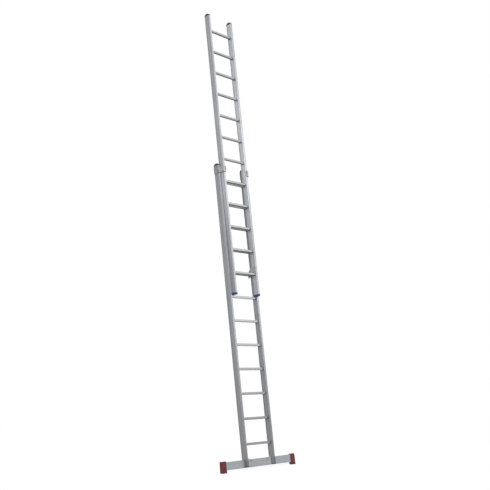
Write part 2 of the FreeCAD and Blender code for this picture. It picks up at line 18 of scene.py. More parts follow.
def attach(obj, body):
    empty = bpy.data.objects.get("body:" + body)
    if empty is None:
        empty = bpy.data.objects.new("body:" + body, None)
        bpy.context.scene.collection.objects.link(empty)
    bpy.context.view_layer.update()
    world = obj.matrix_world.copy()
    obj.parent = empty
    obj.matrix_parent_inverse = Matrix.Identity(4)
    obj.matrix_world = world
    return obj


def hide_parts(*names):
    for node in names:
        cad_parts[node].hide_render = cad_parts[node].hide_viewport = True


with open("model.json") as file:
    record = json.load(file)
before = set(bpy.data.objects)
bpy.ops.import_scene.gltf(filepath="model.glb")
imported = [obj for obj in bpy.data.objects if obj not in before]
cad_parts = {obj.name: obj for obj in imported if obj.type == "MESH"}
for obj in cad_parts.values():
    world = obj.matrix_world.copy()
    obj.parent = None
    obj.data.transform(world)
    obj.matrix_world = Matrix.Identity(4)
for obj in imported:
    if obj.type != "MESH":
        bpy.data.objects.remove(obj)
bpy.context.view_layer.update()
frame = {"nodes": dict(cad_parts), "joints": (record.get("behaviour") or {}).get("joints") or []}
nodes = frame["nodes"]

# %% [markdown]
# Nearly everything on a ladder lies along three directions: across it, through its depth and
# up its stiles. The slide joint of the fly section already says which way the stiles point,
# so the other two follow from it. `ladder_box` measures a set of points in those directions,
# which is how the lesson finds where a node of the frame starts and ends.

# %% The ladder's own directions
slide = next(joint for joint in frame["joints"] if joint["type"] == "slide")
ACROSS = Vector((1, 0, 0))
UP = Vector(slide["axis"]).normalized()
BACK = UP.cross(ACROSS)
LEAN = math.atan2(UP.y, UP.z)


def ladder_box(points):
    """Middle and half size of some points, across, through and up the ladder."""
    reach = [[point.dot(way) for point in points] for way in (ACROSS, BACK, UP)]
    low = Vector([min(values) for values in reach])
    high = Vector([max(values) for values in reach])
    return (low + high) / 2, (high - low) / 2


def node_box(name):
    return ladder_box([point.co for point in nodes[name].data.vertices])


print("lean %.1f degrees" % math.degrees(LEAN))

# %% [markdown]
# The camera stands to the left of the ladder and in front of it, at about eye height, with
# a moderately long lens. It is turned a few degrees about its own axis, so the leaning
# ladder stands less steeply in the picture than it would in a level one.

# %% Camera
EYE = Vector((-6.583, -5.748, 1.814))
HEADING = math.radians(-46.538)
TILT = math.radians(2.711)
ROLL = math.radians(5.318)
LENS = 63.09
SENSOR = 36
FAR = 100

forward = Vector((-math.sin(HEADING) * math.cos(TILT),
                  math.cos(HEADING) * math.cos(TILT), math.sin(TILT)))
level = Vector((math.cos(HEADING), math.sin(HEADING), 0))
overhead = level.cross(forward)
picture_right = level * math.cos(ROLL) + overhead * math.sin(ROLL)
picture_up = overhead * math.cos(ROLL) - level * math.sin(ROLL)

camera = bpy.data.objects.new("camera", bpy.data.cameras.new("camera"))
bpy.context.scene.collection.objects.link(camera)
camera.data.sensor_width = SENSOR
camera.data.lens = LENS
camera.data.clip_end = FAR
turn = Matrix((picture_right, picture_up, -forward)).transposed()
camera.matrix_world = Matrix.Translation(EYE) @ turn.to_4x4()
bpy.context.scene.camera = camera
bpy.context.scene.view_settings.view_transform = "Standard"
print("camera at", tuple(round(value, 2) for value in EYE))

# %% [markdown]
# Everything from here on is built from nodes, and writing them one call at a time soon
# becomes hard to read. `put` adds a node and fills its inputs, with a value or with a link
# from another node, whichever it is given.

# %% Node helpers
def put(tree, kind, inputs=None, **settings):
    """Adds a node, sets its properties, and sets or links its inputs by name or number."""
    node = tree.nodes.new(kind)
    for name, value in settings.items():
        setattr(node, name, value)
    for name, value in (inputs or {}).items():
        if isinstance(value, bpy.types.NodeSocket):
            tree.links.new(value, node.inputs[name])
        else:
            node.inputs[name].default_value = value
    return node


def maths(tree, operation, first, second=0.0):
    node = put(tree, "ShaderNodeMath", {0: first, 1: second}, operation=operation)
    return node.outputs[0]


def times(tree, first, second):
    return maths(tree, "MULTIPLY", first, second)


def ramp(tree, factor, stops):
    """Colour ramp through two stops, each a position and a colour."""
    node = put(tree, "ShaderNodeValToRGB", {"Fac": factor})
    for element, (position, colour) in zip(node.color_ramp.elements, stops):
        element.position = position
        element.color = (*colour, 1)
    return node.outputs["Color"]


# %% [markdown]
# The studio is a white world and a pale floor. The world is plain white to the camera and to
# reflections, and weaker as a light, so that the metal shows a bright room while its shaded
# sides stay readable.

# %% World
WORLD_LIGHT = 0.385
WHITE = (1, 1, 1, 1)

world = bpy.data.worlds.new("studio")
bpy.context.scene.world = world
world.use_nodes = True
tree = world.node_tree
tree.nodes.clear()
rays = put(tree, "ShaderNodeLightPath")
seen = maths(tree, "MAXIMUM", rays.outputs["Is Camera Ray"], rays.outputs["Is Glossy Ray"])
seen = maths(tree, "MAXIMUM", seen, rays.outputs["Is Transmission Ray"])
strength = maths(tree, "ADD", WORLD_LIGHT, times(tree, seen, 1 - WORLD_LIGHT))
shine = put(tree, "ShaderNodeBackground", {"Color": WHITE, "Strength": strength})
put(tree, "ShaderNodeOutputWorld", {"Surface": shine.outputs[0]})
print("world lights at", WORLD_LIGHT)

# %% [markdown]
# The floor is lit like any surface close to the ladder, where the shadow falls. Further out
# it fades into the white of the world, so that no edge shows behind the ladder.

# %% Floor
FLOOR_RADIUS = 30.0
FLOOR_SIDES = 64
FADE_START = 0.8
FADE_END = 3.0
FLOOR_GREY = 0.8
FLOOR_LIFT = 0.68

floor_mesh = bpy.data.meshes.new("floor")
sheet = bmesh.new()
bmesh.ops.create_circle(sheet, cap_ends=True, segments=FLOOR_SIDES,
                         radius=FLOOR_RADIUS)
sheet.to_mesh(floor_mesh)
sheet.free()
floor = bpy.data.objects.new("floor", floor_mesh)
bpy.context.scene.collection.objects.link(floor)

floor_paint = bpy.data.materials.new("floor_paint")
floor_paint.use_nodes = True
tree = floor_paint.node_tree
tree.nodes.clear()
place = put(tree, "ShaderNodeTexCoord").outputs["Object"]
distance = put(tree, "ShaderNodeVectorMath", {0: place}, operation="LENGTH").outputs["Value"]
fade = put(tree, "ShaderNodeMapRange", {"Value": distance, "From Min": FADE_START,
                                        "From Max": FADE_END})
fade.interpolation_type = "SMOOTHSTEP"
rays = put(tree, "ShaderNodeLightPath")
seen = maths(tree, "MAXIMUM", rays.outputs["Is Camera Ray"], rays.outputs["Is Glossy Ray"])
lit = put(tree, "ShaderNodeBsdfDiffuse", {"Color": (FLOOR_GREY, FLOOR_GREY, FLOOR_GREY, 1)})
lift = put(tree, "ShaderNodeEmission", {"Strength": times(tree, seen, FLOOR_LIFT)})
near = put(tree, "ShaderNodeAddShader", {0: lit.outputs[0], 1: lift.outputs[0]})
white = put(tree, "ShaderNodeEmission", {"Color": WHITE, "Strength": 1})
glow = times(tree, fade.outputs["Result"], seen)
mixed = put(tree, "ShaderNodeMixShader", {"Fac": glow, 1: near.outputs[0], 2: white.outputs[0]})
put(tree, "ShaderNodeOutputMaterial", {"Surface": mixed.outputs[0]})
floor_mesh.materials.append(floor_paint)
print("floor radius", FLOOR_RADIUS)

# %% [markdown]
# Three lamps do the rest. Two spots stand in front of the ladder, level with its upper half,
# one on each side of it. The left one is large and soft. The right one is weaker and small
# enough to draw the shadow of each stile on the rungs and on the bar. The soft edges of both
# end near the floor, so the fronts of the stiles fall from bright to middle grey on their way
# down. The fill is a soft disc on the left that reaches the sides of the fly section.

# %% Lamps
def aimed_lamp(name, kind, centre, target, watts, **settings):
    lamp = bpy.data.objects.new(name, bpy.data.lights.new(name, kind))
    lamp.data.energy = watts
    for setting, value in settings.items():
        setattr(lamp.data, setting, value)
    bpy.context.scene.collection.objects.link(lamp)
    aim = (Vector(target) - Vector(centre)).to_track_quat("-Z", "Y")
    lamp.matrix_world = Matrix.Translation(centre) @ aim.to_matrix().to_4x4()
    print(name, watts, "W")


SPOT_CONE = math.radians(68)
UPPER_HALF = (0, 0.9, 3.3)
aimed_lamp("left_lamp", "SPOT", centre=(-1.7, -4.6, 3.3), target=UPPER_HALF, watts=680,
           spot_size=SPOT_CONE, spot_blend=1.0, shadow_soft_size=0.9)
aimed_lamp("right_lamp", "SPOT", centre=(3.2, -3.7, 3.3), target=UPPER_HALF, watts=285,
           spot_size=SPOT_CONE, spot_blend=1.0, shadow_soft_size=0.2)
aimed_lamp("fill_lamp", "AREA", centre=(-3.0, -0.9, 4.3), target=(0, 0.8, 3.4), watts=34,
           shape="DISK", size=1.6)

# %% [markdown]
# Drawn and extruded metal is never even: the die leaves long faint lines, and handling leaves
# dull patches. A picture of scratched metal could be wrapped round each piece, but noise
# needs no unwrapping and runs on from piece to piece. It is stretched far along the stiles,
# and the Mapping node leans it with the ladder.

# %% Extruded aluminium
def surface(name):
    """New material with its node tree, Principled shader and output."""
    material = bpy.data.materials.new(name)
    material.use_nodes = True
    tree = material.node_tree
    tree.nodes.clear()
    shader = put(tree, "ShaderNodeBsdfPrincipled")
    put(tree, "ShaderNodeOutputMaterial", {"Surface": shader.outputs[0]})
    return material, tree, shader


def link(tree, output, shader, name):
    tree.links.new(output, shader.inputs[name])


def ladder_place(tree):
    """Object coordinates turned onto the ladder: across, behind and up it."""
    place = put(tree, "ShaderNodeTexCoord").outputs["Object"]
    return put(tree, "ShaderNodeMapping", {"Vector": place, "Rotation": (LEAN, 0, 0)}).outputs[0]


LINE_DETAIL = 3.0


def stretched_noise(tree, scale, roughness=0.55):
    """Noise on the ladder's own axes, scaled across, through and along it."""
    stretch = put(tree, "ShaderNodeMapping", {"Vector": ladder_place(tree), "Scale": scale})
    noise = put(tree, "ShaderNodeTexNoise", {"Vector": stretch.outputs[0], "Scale": 1.0,
                                             "Detail": LINE_DETAIL, "Roughness": roughness})
    return noise.outputs["Fac"]


def shade_by(tree, colour, tints):
    """Colour multiplied by 1 + gain wherever each (mask, gain) applies."""
    for mask, gain in tints:
        factor = maths(tree, "ADD", 1.0, times(tree, mask, gain))
        colour = put(tree, "ShaderNodeVectorMath", {0: colour, "Scale": factor},
                     operation="SCALE").outputs[0]
    return colour


PATCH_SPREAD = (0.3, 0.7)


def finished(made, colour, tint, patches, rough, relief, bump, relief_depth):
    """Links colour, gloss and relief to a surface's shader and returns its material."""
    material, tree, shader = made
    if tint:
        colour = shade_by(tree, colour, tint(tree))
    link(tree, colour, shader, "Base Color")
    gloss = put(tree, "ShaderNodeMapRange",
                {"Value": patches, "From Min": PATCH_SPREAD[0], "From Max": PATCH_SPREAD[1],
                 "To Min": rough[0], "To Max": rough[1]})
    link(tree, gloss.outputs["Result"], shader, "Roughness")
    bumps = put(tree, "ShaderNodeBump", {"Height": relief, "Strength": bump,
                                         "Distance": relief_depth})
    link(tree, bumps.outputs[0], shader, "Normal")
    print("material", material.name)
    return material


LINE_SHARE = 0.6
LINE_STOPS = (0.36, 0.64)
PATCH_SCALE = (9, 9, 3.2)
PATCH_ROUGHNESS = 0.6
LINE_BUMP = 0.15
LINE_RELIEF = 0.0004


def metal(name, dark, light, scale, metallic=0.35, rough=(0.36, 0.52), tint=None):
    """Metal whose colour and gloss drift between two values along drawn lines."""
    material, tree, shader = surface(name)
    lines = stretched_noise(tree, scale)
    patches = stretched_noise(tree, PATCH_SCALE, PATCH_ROUGHNESS)
    blend = maths(tree, "ADD", times(tree, lines, LINE_SHARE),
                  times(tree, patches, 1 - LINE_SHARE))
    colour = ramp(tree, blend, zip(LINE_STOPS, (dark, light)))
    shader.inputs["Metallic"].default_value = metallic
    return finished((material, tree, shader), colour, tint, patches, rough, lines,
                    LINE_BUMP, LINE_RELIEF)


# %% [markdown]
# ## Painted light and shade
#
# Much of the light and shade on a ladder can be told by place alone, so it is painted into the
# colours. Each function below reads the faces of its piece from the frame and compares distances
# along the ladder with them. It gives a list of masks, each with a gain: above 0 is brighter and
# below 0 is duller. `to_face` and `from_face` make the masks that lie behind and in front of a
# face.

# %% Masks by place
Spot = namedtuple("Spot", "sideways forward height")
Faces = namedtuple("Faces", "inner outer front back low")


def band(tree, value, low, high):
    """0 below a value, 1 above another one, with a soft step between them."""
    node = put(tree, "ShaderNodeMapRange", {"Value": value, "From Min": low, "From Max": high})
    node.interpolation_type = "SMOOTHSTEP"
    return node.outputs["Result"]


def below(tree, value, low, high):
    """1 below a value, 0 above another one."""
    return maths(tree, "SUBTRACT", 1.0, band(tree, value, low, high))


def spot_on(tree):
    """Distance from the middle, distance forward and height of a point on the ladder."""
    across, behind, height = put(tree, "ShaderNodeSeparateXYZ", {0: ladder_place(tree)}).outputs
    return Spot(maths(tree, "ABSOLUTE", across), times(tree, behind, -1.0), height)


def faces_of(node):
    """Where a piece's faces lie, in the distances that a Spot holds."""
    centre, half = node_box(node)
    return Faces(abs(centre.x) - half.x, abs(centre.x) + half.x, half.y - centre.y,
                 -half.y - centre.y, centre.z - half.z)


def to_face(tree, value, face, depths=(0.003, 0.001)):
    """1 at a face, fading away behind it between these two depths, the larger one first."""
    return band(tree, value, face - depths[0], face - depths[1])


def from_face(tree, value, face, reach):
    """1 behind a face, fading away in front of it between these two distances."""
    return below(tree, value, face + reach[0], face + reach[1])


print("the fly's right stile:", faces_of("fly_stile_right"))

# %% [markdown]
# The front of each stile gets a painted highlight, as it faces the lamps, and painted shade low
# down, where their light falls off. The web between the rungs is made brighter, and darker low
# down. The rear corner gets painted shade. The outer side of the fly gets painted light over the
# length that runs in the guide brackets, for light thrown onto it from the front of the base
# stile.

# %% Painted light and shade on the stiles
STILE_SKIN = (0.004, 0.002)
# The web between the rungs is made brighter, and darker low down.
WEB_REACH = (0.0065, 0.0085)
SIDE_SKIN = (0.0035, 0.0015)
REAR_CORNER = (0.004, 0.016)
# The rear corner of each stile gets painted shade.
REAR_SHADE = -0.38
# Below these heights the fronts of the stiles get painted shade, as the lamps' light falls off
# towards the floor.
LOW_SHADE_HEIGHTS = (1.9, 3.2)
# Over these heights the fly's outer side gets painted light, for light thrown onto it from the
# front of the base stile.
GUIDED_FROM = (2.1, 2.9)
GUIDED_TO = (3.1, 3.2)
GUIDED_DEPTHS = (0.055, 0.07)


def stile_tint(node, lit_face, low_shade, bright_web=0.0, low_web=0.0, side_light=0.0):
    """Painted light on the front and outer side, painted shade low on the front and at the rear,
    and a brighter web, darker low down.
    """
    faces = faces_of(node)

    def tint(tree):
        spot = spot_on(tree)
        front = to_face(tree, spot.forward, faces.front, STILE_SKIN)
        web = from_face(tree, spot.sideways, faces.inner, WEB_REACH)
        rear = from_face(tree, spot.forward, faces.back, REAR_CORNER)
        side = times(tree, to_face(tree, spot.sideways, faces.outer, SIDE_SKIN),
                     below(tree, spot.forward, *GUIDED_DEPTHS))
        low = below(tree, spot.height, *LOW_SHADE_HEIGHTS)
        guided = times(tree, band(tree, spot.height, *GUIDED_FROM),
                       below(tree, spot.height, *GUIDED_TO))
        # Painted highlight on the fronts and painted shade on them low down, painted shade along
        # the rear corner, painted light on the fly's outer side in the guides; the web is only
        # made brighter.
        return [(front, lit_face), (times(tree, front, low), low_shade),
                (web, bright_web), (times(tree, web, low), low_web),
                (rear, REAR_SHADE), (times(tree, side, guided), side_light)]
    return tint


# %% [markdown]
# Rungs get painted shade underneath, the painted shadow of the stiles where they enter them,
# and a painted highlight on the tread. The base rungs behind the fly get painted light on their
# faces and painted shade below them.
# All rungs stand at whole multiples of one pitch, so rounding finds the nearest one, and no
# rung needs a mask of its own.

# %% Painted light and shade on rungs and collars
RUNG_PITCH = 0.25
# The tread on top of each rung gets a painted highlight.
TREAD = (0.009, 0.0115)
UNDER_SOFT = 0.0025
# The ends of each rung get the painted shadow of the stile, darkest below them.
END_DEPTHS = (0.014, 0.0)
END_SHADOW = -0.55
CORNER_SHADOW = -0.6
# Above this height the base rungs lie behind the fly's rungs: their faces get painted light and
# their undersides painted shade.
COVERED_FROM = (1.9, 1.95)
# The lower half of each collar gets painted shade.
COLLAR_LOWER_HALF = (-0.004, 0.003)
COLLAR_SHADE = -0.72


def rung_level(tree, height):
    """Height above the middle of the nearest rung."""
    turns = maths(tree, "DIVIDE", height, RUNG_PITCH)
    return times(tree, maths(tree, "SUBTRACT", turns, maths(tree, "ROUND", turns)), RUNG_PITCH)


def rung_tint(stile, under_top, under_shade, lit_face, covered_light=0.0, covered_shade=0.0):
    """Painted shade underneath, a painted highlight on the tread, painted shadow at the ends, and
    other values where it is covered.
    """
    end = faces_of(stile).inner

    def tint(tree):
        spot = spot_on(tree)
        level = rung_level(tree, spot.height)
        under = below(tree, level, under_top - UNDER_SOFT, under_top)
        ends = to_face(tree, spot.sideways, end, END_DEPTHS)
        behind = band(tree, spot.height, *COVERED_FROM)
        # Painted shade underneath, a painted highlight on the tread, painted shadow at the ends
        # and below them, and painted light and shade on the covered base rungs.
        return [(under, under_shade), (band(tree, level, *TREAD), lit_face), (ends, END_SHADOW),
                (times(tree, under, ends), CORNER_SHADOW), (behind, covered_light),
                (times(tree, under, behind), covered_shade)]
    return tint


def collar_tint(tree):
    """Painted shade in the lower half of each collar."""
    level = rung_level(tree, spot_on(tree).height)
    return [(below(tree, level, *COLLAR_LOWER_HALF), COLLAR_SHADE)]


print("base rungs", 2 * faces_of("base_stile_right").inner, "m between the stiles")

# %% [markdown]
# The small pieces get painted highlights on the faces that turn to the lamps, and painted shade
# where they meet a neighbour: the boots at the bar, the guide brackets along their edges, and the
# bar brackets beside their bend. The outer sides of the guide brackets, the legs of the bar
# brackets and the ends of the feet get painted shade, and the feet and boots are darker low down.

# %% Painted light and shade on feet and brackets
BOOT_JOINT = (0.002, 0.010)
BOOT_TOE_HEIGHTS = (0.038, 0.046)
BOOT_GAINS = (0.12, -0.55, -0.4)
FOOT_FRONT = (0.014, 0.012)
FOOT_END = (0.006, 0.003)
SOLE_HEIGHTS = (0.004, 0.016)
FOOT_GAINS = (0.28, -0.2, -0.5)
TAB_HEIGHT = 0.010
LIP_EDGE = (0.010, 0.014)
LOWER_EDGE = (0.004, 0.008)
CHEEK = (0.010, 0.018)
BRACKET_GAINS = (-0.3, 0.1, -0.6, -0.6)
ANGLE_LEG = (0.005, 0.003)
ANGLE_BEND = (0.021, 0.015)
ANGLE_GAINS = (-0.2, -0.6)


def boot_tint(node):
    """A painted highlight on the front, painted shade where the boot meets the bar, and a darker
    toe.
    """
    faces = faces_of(node)

    def tint(tree):
        spot = spot_on(tree)
        masks = (to_face(tree, spot.forward, faces.front),
                 from_face(tree, spot.forward, faces.back, BOOT_JOINT),
                 below(tree, spot.height, *BOOT_TOE_HEIGHTS))
        # The front gets a painted highlight and the joint with the bar painted shade; the toe is
        # only made darker.
        return list(zip(masks, BOOT_GAINS))
    return tint


def foot_tint(node):
    """A painted highlight on the front, painted shade on the end, and a darker sole."""
    faces = faces_of(node)

    def tint(tree):
        spot = spot_on(tree)
        masks = (to_face(tree, spot.forward, faces.front, FOOT_FRONT),
                 to_face(tree, spot.sideways, faces.outer, FOOT_END),
                 below(tree, spot.height, *SOLE_HEIGHTS))
        # The front gets a painted highlight and the end painted shade; the sole is only made
        # darker.
        return list(zip(masks, FOOT_GAINS))
    return tint


def bracket_tint(node):
    """Painted shade on the outer side, a painted highlight on the lip, and painted shadow along
    the lip's inner edge and above the lower tab.
    """
    faces = faces_of(node)

    def tint(tree):
        spot = spot_on(tree)
        lip = to_face(tree, spot.forward, faces.front)
        lip_edge = times(tree, lip, from_face(tree, spot.sideways, faces.inner, LIP_EDGE))
        edge = times(tree, from_face(tree, spot.height, faces.low + TAB_HEIGHT, LOWER_EDGE),
                     band(tree, spot.forward, *CHEEK))
        side = to_face(tree, spot.sideways, faces.outer)
        # All four are painted light and shade: the outer side is held darker, the lip gets a
        # highlight, and its inner edge and the lower tab get shadow.
        return list(zip((side, lip, lip_edge, edge), BRACKET_GAINS))
    return tint


def angle_tint(node):
    """Painted shade on the leg, and a painted shadow beside the bend."""
    faces = faces_of(node)

    def tint(tree):
        spot = spot_on(tree)
        leg = to_face(tree, spot.sideways, faces.outer, ANGLE_LEG)
        beside = times(tree, to_face(tree, spot.sideways, faces.outer, ANGLE_BEND),
                       maths(tree, "SUBTRACT", 1.0, leg))
        # Both are painted shade: on the leg, and the shadow beside the bend.
        return list(zip((leg, beside), ANGLE_GAINS))
    return tint


# %% [markdown]
# Every metal is the same recipe with its own two colours and its own drawn lines, and some have
# tints of painted light and shade. The scale of the lines is given across, through and along the
# ladder, and a small number in one place draws them out in that direction. The base section is
# darker than the fly, and the latches are nearly black.

# %% The metals
UP_LINES = (48, 48, 0.5)
RUNG_LINES = (1.5, 190, 190)
BAR_LINES = (0.9, 160, 160)
PRESSED = (60, 60, 60)
RUNG_GLOSS = (0.52, 0.64)
BAR_DARK, BAR_LIGHT = (0.48, 0.515, 0.55), (0.60, 0.635, 0.67)

# The gains given below to the stile and rung tints set painted light and shade, apart from those
# of the web.
base_stile_metal = metal("base_stile_aluminium", (0.26, 0.275, 0.295), (0.39, 0.405, 0.43),
                         UP_LINES, tint=stile_tint("base_stile_right", lit_face=0.19, low_shade=-0.11))
fly_stile_metal = metal("fly_stile_aluminium", (0.31, 0.325, 0.35), (0.445, 0.46, 0.485),
                        UP_LINES, tint=stile_tint("fly_stile_right", lit_face=0.28, low_shade=-0.30,
                                                  bright_web=0.42, low_web=-0.16,
                                                  side_light=0.42))
base_rung_metal = metal("base_rung_aluminium", (0.43, 0.435, 0.44), (0.54, 0.545, 0.55),
                        RUNG_LINES, rough=RUNG_GLOSS,
                        tint=rung_tint("base_stile_right", under_top=-0.009, under_shade=-0.25,
                                       lit_face=0.20, covered_light=0.12, covered_shade=-0.35))
fly_rung_metal = metal("fly_rung_aluminium", (0.38, 0.385, 0.39), (0.50, 0.505, 0.51),
                       RUNG_LINES, rough=RUNG_GLOSS,
                       tint=rung_tint("fly_stile_right", under_top=-0.0065, under_shade=-0.58,
                                      lit_face=0.1))
collar_metal = metal("collar_aluminium", (0.40, 0.405, 0.41), (0.50, 0.505, 0.51),
                     (120, 120, 120), tint=collar_tint)
bar_metal = metal("bar_aluminium", BAR_DARK, BAR_LIGHT, BAR_LINES)
angle_metal = metal("bar_bracket_aluminium", BAR_DARK, BAR_LIGHT, PRESSED,
                    tint=angle_tint("bar_bracket_right"))
# This colour is lighter than the outer sides show, as painted light for the bracket's faces in
# shade; its tint takes the outer side back down.
bracket_metal = metal("bracket_aluminium", (0.34, 0.345, 0.35), (0.46, 0.465, 0.47), PRESSED,
                      tint=bracket_tint("guide_bracket_right"))
zinc_metal = metal("zinc_plate", (0.36, 0.37, 0.385), (0.52, 0.53, 0.54), (220, 220, 220))
hook_metal = metal("hook_steel", (0.34, 0.345, 0.355), (0.44, 0.445, 0.455), (90, 90, 90))
latch_metal = metal("latch_steel", (0.035, 0.036, 0.04), (0.06, 0.062, 0.066), (150, 150, 150),
                    metallic=0.3)

# %% [markdown]
# Caps, boots and feet are moulded, so they have no drawn lines. A fine grain comes from the
# mould's own surface and shows only as relief, and wide, faint patches of colour and gloss
# come from handling. The blue of the fly's feet is the brightest, the caps of the base are
# deeper, and those at the top of the fly are nearly navy.

# %% Moulded plastic and rubber
WIDE_PATCHES = 38.0
WIDE_DETAIL = 4.0
WIDE_STOPS = (0.35, 0.68)
GRAIN_DETAIL = 2.0
GRAIN_RELIEF = 0.0003


def moulded(name, dark, light, rough, grain=900.0, bump=0.2, tint=None):
    """Moulded plastic or rubber: a fine grain and wide, worn patches."""
    material, tree, shader = surface(name)
    place = put(tree, "ShaderNodeTexCoord").outputs["Object"]
    fine = put(tree, "ShaderNodeTexNoise", {"Vector": place, "Scale": grain,
                                            "Detail": GRAIN_DETAIL})
    wide = put(tree, "ShaderNodeTexNoise", {"Vector": place, "Scale": WIDE_PATCHES,
                                            "Detail": WIDE_DETAIL})
    colour = ramp(tree, wide.outputs["Fac"], zip(WIDE_STOPS, (dark, light)))
    return finished((material, tree, shader), colour, tint, wide.outputs["Fac"], rough,
                    fine.outputs["Fac"], bump, GRAIN_RELIEF)


blue_plastic = moulded("blue_plastic", (0.015, 0.038, 0.175), (0.025, 0.060, 0.235),
                       rough=(0.38, 0.5))
deep_blue_plastic = moulded("deep_blue_plastic", (0.014, 0.028, 0.12), (0.026, 0.048, 0.18),
                            rough=(0.36, 0.48))
navy_plastic = moulded("navy_plastic", (0.010, 0.015, 0.042), (0.020, 0.030, 0.074),
                       rough=(0.34, 0.46))
red_rubber = moulded("red_rubber", (0.16, 0.026, 0.032), (0.22, 0.038, 0.046),
                     rough=(0.5, 0.68), grain=1100.0, bump=0.35,
                     tint=foot_tint("stabiliser_foot_left"))
grey_plastic = moulded("grey_plastic", (0.27, 0.28, 0.31), (0.34, 0.35, 0.38),
                       rough=(0.5, 0.65), grain=800.0, bump=0.25,
                       tint=boot_tint("base_boot_left"))
nylon = moulded("nylon", (0.52, 0.52, 0.49), (0.64, 0.64, 0.61), rough=(0.4, 0.5),
                grain=700.0, bump=0.15)

# %% [markdown]
# Each node of the frame now gets its finish by its name, so that left and right pieces, and
# all the rungs of a section, share one entry. One table keeps every finish in sight, and a
# change there reaches each copy of a piece.

# %% Dress the nodes
FINISHES = {
    "base_stile": base_stile_metal, "fly_stile": fly_stile_metal,
    "base_rung": base_rung_metal, "fly_rung": fly_rung_metal,
    "stabiliser_bar": bar_metal, "bar_bracket": angle_metal, "guide_bracket": bracket_metal,
    "base_top_cap": deep_blue_plastic, "fly_top_cap": navy_plastic, "fly_foot": blue_plastic,
    "base_boot": grey_plastic, "base_heel": grey_plastic, "stabiliser_foot": red_rubber,
    "guide_pad": nylon,
    "rung_hook": hook_metal, "latch": latch_metal,
    "latch_pins": zinc_metal, "latch_springs": zinc_metal,
    "bar_bolts": zinc_metal, "bar_washers": zinc_metal, "bar_nuts": zinc_metal,
    "guide_rivets": zinc_metal, "hook_rivets": zinc_metal, "bar_bracket_rivets": zinc_metal,
}


def finish_of(node):
    """The finish whose key is the longest one that the node's name starts with."""
    keys = [key for key in FINISHES if node.startswith(key)]
    return FINISHES[max(keys, key=len)]


for name, piece in nodes.items():
    piece.data.materials.clear()
    piece.data.materials.append(finish_of(name))
print("dressed", len(nodes), "nodes")

# %% [markdown]
# ## Soft edges
#
# Nothing that is moulded or pressed has a knife edge. A bevel could be left as a modifier, but
# the solids come as loose triangles, and a bevel needs joined faces. So each small piece is
# copied, its points are merged and its flat areas joined, and then its sharp edges are
# rounded by a fraction of a millimetre. Those narrow rounds are what catches the light.

# %% Soft edges
MERGE = 1e-5
FLAT = math.radians(0.5)
CREASE = math.radians(32)
ROUND_STEPS = 2
ROUND_PROFILE = 0.5


def softened(node, body, width):
    """Merged copy of a node with small rounds on its sharp edges; it stands for the node."""
    shape = bmesh.new()
    shape.from_mesh(nodes[node].data)
    bmesh.ops.remove_doubles(shape, verts=shape.verts, dist=MERGE)
    bmesh.ops.dissolve_limit(shape, angle_limit=FLAT, verts=shape.verts, edges=shape.edges)
    sharp = [edge for edge in shape.edges
             if len(edge.link_faces) == 2 and edge.calc_face_angle() > CREASE]
    bmesh.ops.bevel(shape, geom=sharp, offset=width, offset_type="OFFSET", affect="EDGES",
                    segments=ROUND_STEPS, profile=ROUND_PROFILE, clamp_overlap=True)
    mesh = bpy.data.meshes.new(node + "_soft")
    shape.to_mesh(mesh)
    open_edges = sum(1 for edge in shape.edges if not edge.is_manifold)
    shape.free()
    mesh.shade_smooth()
    mesh.set_sharp_from_angle(angle=CREASE)
    mesh.materials.append(finish_of(node))
    piece = bpy.data.objects.new(node + "_soft", mesh)
    bpy.context.scene.collection.objects.link(piece)
    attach(piece, body)
    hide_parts(node)
    print(piece.name, len(mesh.polygons), "faces,", open_edges, "open edges")


SOFT_PIECES = (
    ("base_top_cap", "base", "blue_cap", 0.0009), ("fly_top_cap", "fly", "blue_cap", 0.0009),
    ("fly_foot", "fly", "blue_foot", 0.0009), ("base_boot", "base", "grey_boot", 0.0005),
    ("base_heel", "base", "grey_boot", 0.0005), ("stabiliser_foot", "base", "red_foot", 0.0008),
    ("guide_bracket", "base", "bracket", 0.0004), ("bar_bracket", "base", "bracket", 0.0004),
    ("rung_hook", "fly", "hook", 0.0004),
)
for kind, body, slot, width in SOFT_PIECES:
    for side in ("_left", "_right"):
        softened(kind + side, body, width)

# %% [markdown]
# ## Things that repeat
#
# Rungs, collars, rivets, bolts and springs are each one small rule used many times, which is
# what Geometry Nodes are good at. Every tree here takes its sizes as named inputs, ends in
# Realize Instances and Set Material, and leans its result back onto the ladder last, so that
# the rule itself can be written in the ladder's straight directions.

# %% Geometry Nodes helpers
KINDS = {"Geometry": "NodeSocketGeometry", "Count": "NodeSocketInt",
         "Finish": "NodeSocketMaterial"}


def new_rule(name, labels):
    """Geometry Nodes tree with a named input for each label; returns it and its inputs."""
    tree = bpy.data.node_groups.new(name, "GeometryNodeTree")
    for label in labels:
        kind = KINDS.get(label, "NodeSocketFloat")
        tree.interface.new_socket(name=label, in_out="INPUT", socket_type=kind)
    tree.interface.new_socket(name="Geometry", in_out="OUTPUT",
                              socket_type="NodeSocketGeometry")
    return tree, tree.nodes.new("NodeGroupInput").outputs


def vector(tree, x=0.0, y=0.0, z=0.0):
    return put(tree, "ShaderNodeCombineXYZ", {0: x, 1: y, 2: z}).outputs[0]


def joined(tree, *parts):
    node = tree.nodes.new("GeometryNodeJoinGeometry")
    for part in parts:
        tree.links.new(part, node.inputs[0])
    return node.outputs[0]


def moved(tree, part, place=None, turn=None):
    inputs = {"Geometry": part}
    for name, value in (("Translation", place), ("Rotation", turn)):
        if value is not None:
            inputs[name] = value
    return put(tree, "GeometryNodeTransform", inputs).outputs[0]


